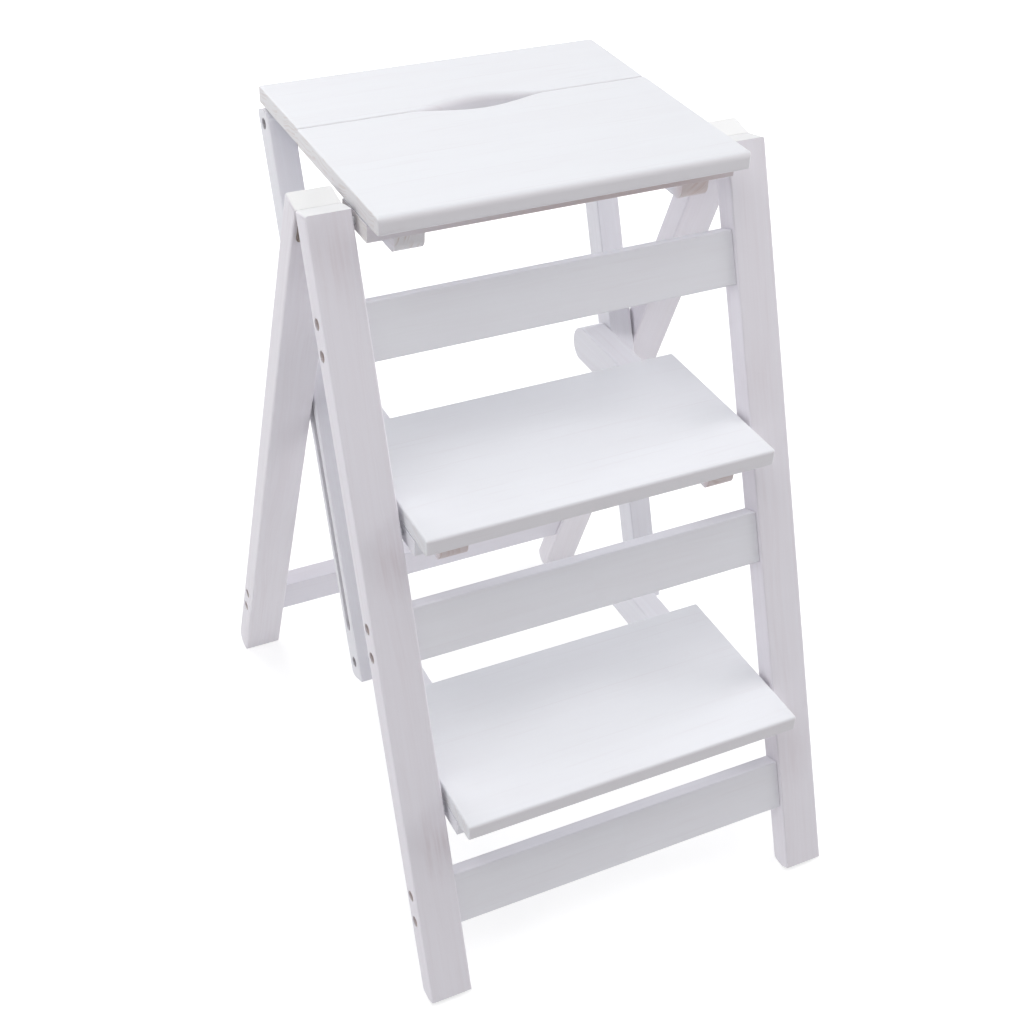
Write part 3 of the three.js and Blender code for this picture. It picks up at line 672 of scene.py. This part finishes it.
def soft_shading():
    """A modifier's node group that joins the facets' corners and shades smooth over small angles."""
    tree = bpy.data.node_groups.new("soft_shading", "GeometryNodeTree")
    tree.interface.new_socket("Geometry", in_out="INPUT", socket_type="NodeSocketGeometry")
    tree.interface.new_socket("Geometry", in_out="OUTPUT", socket_type="NodeSocketGeometry")
    start = tree.nodes.new("NodeGroupInput")
    end = tree.nodes.new("NodeGroupOutput")
    own = tree.nodes.new("GeometryNodeRemoveAttribute")
    own.inputs["Name"].default_value = "custom_normal"
    merge = tree.nodes.new("GeometryNodeMergeByDistance")
    merge.inputs["Distance"].default_value = SAME_POINT
    round_all = tree.nodes.new("GeometryNodeSetShadeSmooth")
    round_all.domain = "FACE"
    angle = tree.nodes.new("GeometryNodeInputMeshEdgeAngle")
    sharp = tree.nodes.new("FunctionNodeCompare")
    sharp.data_type = "FLOAT"
    sharp.operation = "GREATER_THAN"
    sharp.inputs["B"].default_value = SHARP_FROM
    crease = tree.nodes.new("GeometryNodeSetShadeSmooth")
    crease.domain = "EDGE"
    crease.inputs["Shade Smooth"].default_value = False
    for a, b in (
        (start.outputs[0], own.inputs["Geometry"]),
        (own.outputs[0], merge.inputs["Geometry"]),
        (merge.outputs[0], round_all.inputs["Geometry"]),
        (round_all.outputs[0], crease.inputs["Geometry"]),
        (angle.outputs["Unsigned Angle"], sharp.inputs["A"]),
        (sharp.outputs["Result"], crease.inputs["Selection"]),
        (crease.outputs[0], end.inputs[0]),
    ):
        tree.links.new(a, b)
    return tree


SOFT_SHADING = soft_shading()


def keep_faces_flat(piece, keep_sharp=False):
    """A modifier that turns the normals of rounded edges to the large flat faces beside them."""
    flatten = piece.modifiers.new("flat_faces", "WEIGHTED_NORMAL")
    flatten.mode = "FACE_AREA"
    flatten.keep_sharp = keep_sharp
    flatten.weight = FLAT_FACE_WEIGHT


for name, piece in frame["nodes"].items():
    for slot in piece.material_slots:
        slot.material = finish_for(name)
    piece.modifiers.new("soft_shading", "NODES").node_group = SOFT_SHADING
    keep_faces_flat(piece, keep_sharp=True)


# Pieces of the scene's own.


def add_object(name, data):
    """An object in the scene for a mesh, a light or a camera."""
    made = bpy.data.objects.new(name, data)
    bpy.context.scene.collection.objects.link(made)
    return made


# Boards, whose noses are rounder at the seat than at the steps.


def slot_edge(end_x, seam, bow, widest):
    """Points and edge radii of one side of the hand slot, from one tip to the other along the seam."""
    points, radii = [], []
    for i in range(SLOT_STEPS + 1):
        share = 1 - 2 * i / SLOT_STEPS
        bend = math.cos(QUARTER * share)
        soft = bend * (1 - SLOT_TIP_SHARE + SLOT_TIP_SHARE * bend)
        points.append((end_x * share, seam + soft * bow))
        radii.append(ARRIS + (widest - ARRIS) * math.sqrt(bend))
    return points, radii


def board_outline(low, high, front, rear_slot, front_slot):
    """Points round a board from its front left corner, each with the radius of the edge that it starts."""
    outline = [((low.x, low.y), front)]
    if front_slot:
        bow, widest = front_slot
        points, radii = slot_edge(-SLOT_HALF, low.y, bow, widest)
        outline = [((low.x, low.y), ARRIS), *zip(points, radii)]
    outline += [((high.x, low.y), ARRIS), ((high.x, high.y), ARRIS)]
    if rear_slot:
        bow, widest = rear_slot
        points, radii = slot_edge(SLOT_HALF, high.y, -bow, widest)
        outline += list(zip(points, radii))
    outline.append(((low.x, high.y), ARRIS))
    return outline


def board(name, node, body, finish, front, rear_slot=None, front_slot=None):
    """A board on the place of its CAD solid, with a rounding for each edge; a slot is its bow and edge."""
    low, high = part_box(node)
    outline = board_outline(low, high, front, rear_slot, front_slot)
    mesh = bmesh.new()
    weight = mesh.edges.layers.float.new("bevel_weight_edge")
    under = [mesh.verts.new((x, y, low.z)) for (x, y), _ in outline]
    above = [mesh.verts.new((x, y, high.z)) for (x, y), _ in outline]
    mesh.faces.new(list(reversed(under)))
    mesh.faces.new(above)
    largest = max(radius for _, radius in outline)
    for i, (_, radius) in enumerate(outline):
        j = (i + 1) % len(outline)
        mesh.faces.new((under[i], under[j], above[j], above[i]))
        mesh.edges.get((above[i], above[j]))[weight] = radius / largest
        mesh.edges.get((under[i], under[j]))[weight] = min(radius, UNDER_ARRIS + radius / 3) / largest
    for post in under:
        at_side = min(abs(post.co.x - low.x), abs(post.co.x - high.x)) < NEAR
        at_end = min(abs(post.co.y - low.y), abs(post.co.y - high.y)) < NEAR
        if at_side and at_end:
            upright = next(e for e in post.link_edges if abs(e.other_vert(post).co.z - high.z) < NEAR)
            upright[weight] = UPRIGHT_ARRIS / largest
    data = bpy.data.meshes.new(name)
    mesh.to_mesh(data)
    mesh.free()
    data.materials.append(finish)
    piece = add_object(name, data)
    rounding = piece.modifiers.new("rounding", "BEVEL")
    rounding.limit_method = "WEIGHT"
    rounding.width = largest
    rounding.segments = ROUNDING_STEPS
    rounding.use_clamp_overlap = False
    keep_faces_flat(piece)
    for face in data.polygons:
        face.use_smooth = True
    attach(piece, body)
    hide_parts(node)
    return piece


board(
    "seat_front_finished",
    "seat_board_front",
    "seat",
    pine_seat,
    SEAT_NOSE,
    rear_slot=(SLOT_FRONT_BOW, SLOT_FRONT_EDGE),
)
board(
    "seat_rear_finished",
    "seat_board_rear",
    "seat",
    pine_seat,
    ARRIS,
    front_slot=(SLOT_REAR_BOW, SLOT_REAR_EDGE),
)
board("middle_step_finished", "middle_step_board", "middle_step", pine_middle_step, STEP_NOSE)
board("lower_step_finished", "lower_step_board", "lower_step", pine_lower_step, STEP_NOSE)


# Screws of the hinge leaves.


def ring_of(mesh, outline, height):
    """Corners of a mesh on the outline's points, at one height."""
    return [mesh.verts.new((p.x, p.y, height)) for p in outline]


def band(mesh, lower, upper):
    """Quads between two rings of as many corners."""
    for i, corner in enumerate(lower):
        j = (i + 1) % len(lower)
        mesh.faces.new((corner, lower[j], upper[j], upper[i]))


def cross_outline():
    """The outline of the cross recess, with a point halfway between each two corners."""
    corners = []
    for k in range(4):
        turn = Matrix.Rotation(k * QUARTER, 2)
        for x, y in ((RECESS_ARM, -RECESS_WIDTH), (RECESS_ARM, RECESS_WIDTH), (RECESS_WIDTH, RECESS_WIDTH)):
            corners.append(turn @ Vector((x, y)))
    points = []
    for i, corner in enumerate(corners):
        after = corners[(i + 1) % len(corners)]
        points += [corner, corner.lerp(after, 0.5)]
    return points


def round_outline(radius, outline):
    """Points on a circle in the directions that follow the outline's points at even steps."""
    start = math.atan2(outline[0].y, outline[0].x)
    steps = len(outline)
    spots = (start + 2 * math.pi * k / steps for k in range(steps))
    return [Vector((radius * math.cos(a), radius * math.sin(a))) for a in spots]


def hinge_screw(name, place, tilt, faces, body):
    """A countersunk screw head with a low dome and a cross recess, its top along Z before it is turned."""
    cross = cross_outline()
    mesh = bmesh.new()
    rings = [
        ring_of(mesh, round_outline(SCREW_HEAD * share, cross), height) for share, height in SCREW_RINGS
    ]
    rings.append(ring_of(mesh, cross, SCREW_DOME))
    rings.append(ring_of(mesh, [p * RECESS_TAPER for p in cross], SCREW_DOME - RECESS_DEPTH))
    for lower, upper in zip(rings, rings[1:]):
        band(mesh, lower, upper)
    mesh.faces.new(list(reversed(rings[0])))
    mesh.faces.new(rings[-1])
    bmesh.ops.recalc_face_normals(mesh, faces=mesh.faces)
    data = bpy.data.meshes.new(name)
    face_turn = Matrix.Rotation(-QUARTER * faces, 4, "X")
    mesh.transform(Matrix.Translation(place) @ Matrix.Rotation(tilt, 4, "X") @ face_turn)
    mesh.to_mesh(data)
    mesh.free()
    for face in data.polygons:
        face.use_smooth = len(face.vertices) == 4
    piece = add_object(name, data)
    data.materials.append(plating)
    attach(piece, body)
    return piece


fold = next(joint for joint in frame["joints"] if joint["name"] == "rear_frame_fold")
hinge_line = Vector(fold["pos_m"])
for side in ("left", "right"):
    low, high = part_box(f"hinge_leaf_front_{side}")
    middle = (low[0] + high[0]) / 2
    for leaf, tilt, faces in (("front", -LEAN, 1), ("rear", LEG_LEAN, -1)):
        for number, sign in enumerate((-1, 1), 1):
            down = SCREW_DOWN + sign * SCREW_STAGGER
            on_leaf = Vector((sign * SCREW_SPREAD, -faces * LEAF_FACE, -down))
            place = hinge_line + Matrix.Rotation(tilt, 3, "X") @ on_leaf
            place.x += middle
            hinge_screw(f"hinge_screw_{leaf}_{side}_{number}", place, tilt, faces, f"{leaf}_frame")


# Floor, light and camera.


def floor():
    """A wide pale floor just under the feet, which glows a little and turns white far away."""
    mesh = bpy.data.meshes.new("floor")
    signs = ((-1, -1), (1, -1), (1, 1), (-1, 1))
    mesh.from_pydata([(x * FLOOR_REACH, y * FLOOR_REACH, 0) for x, y in signs], [], [(0, 1, 2, 3)])
    piece = add_object("floor", mesh)
    piece.location.z = -FLOOR_DROP
    material, tree, shader = blank("floor")
    shader.inputs["Base Color"].default_value = FLOOR_GREY
    shader.inputs["Emission Color"].default_value = (*WHITE, 1.0)
    place = put(tree, "TexCoord").outputs["Object"]
    away = reckon_vector(tree, "LENGTH", place, result="Value")
    seen = ramp(tree, away, FLOOR_NEAR, FLOOR_AWAY, FLOOR_SEEN, 1.0)
    rays = put(tree, "LightPath")
    glow = ramp(tree, rays.outputs["Is Camera Ray"], 0.0, 1.0, FLOOR_GLOW, seen)
    tree.links.new(glow, shader.inputs["Emission Strength"])
    shader.inputs["Roughness"].default_value = FLOOR_ROUGH
    shader.inputs["Specular IOR Level"].default_value = FLOOR_SHINE
    mesh.materials.append(material)
    return piece


def softbox(name, place, aim_height, side, power, colour):
    """A square soft light that points at the stool's middle at the given height."""
    data = bpy.data.lights.new(name, "AREA")
    data.shape = "SQUARE"
    data.size = side
    data.energy = power
    data.color = colour
    lamp = add_object(name, data)
    lamp.location = place
    lamp.rotation_mode = "QUATERNION"
    lamp.rotation_quaternion = (Vector((0.0, 0.0, aim_height)) - Vector(place)).to_track_quat("-Z", "Y")
    return lamp


floor()
for name, light in LIGHTS.items():
    softbox(name, *light)

world = bpy.data.worlds.new("studio")
world.use_nodes = True
sky = world.node_tree
dim = sky.nodes["Background"]
dim.inputs["Color"].default_value = SKY_COLOUR
dim.inputs["Strength"].default_value = SKY_GLOW
backdrop = put(sky, "Background", {"Color": (*WHITE, 1.0), "Strength": 1.0})
rays = put(sky, "LightPath")
feeds = {0: rays.outputs["Is Camera Ray"], 1: dim.outputs["Background"], 2: backdrop.outputs["Background"]}
seen = put(sky, "MixShader", feeds)
sky.links.new(seen.outputs["Shader"], sky.nodes["World Output"].inputs["Surface"])
bpy.context.scene.world = world
bpy.context.scene.view_settings.view_transform = "Standard"

camera_data = bpy.data.cameras.new("camera")
camera_data.lens = CAMERA_LENS
camera_data.sensor_width = CAMERA_FILM
camera = add_object("camera", camera_data)
turned = Matrix((CAMERA_RIGHT, CAMERA_UP, CAMERA_BACK)).transposed().to_4x4()
camera.matrix_world = Matrix.Translation(CAMERA_PLACE) @ turned
bpy.context.scene.camera = camera
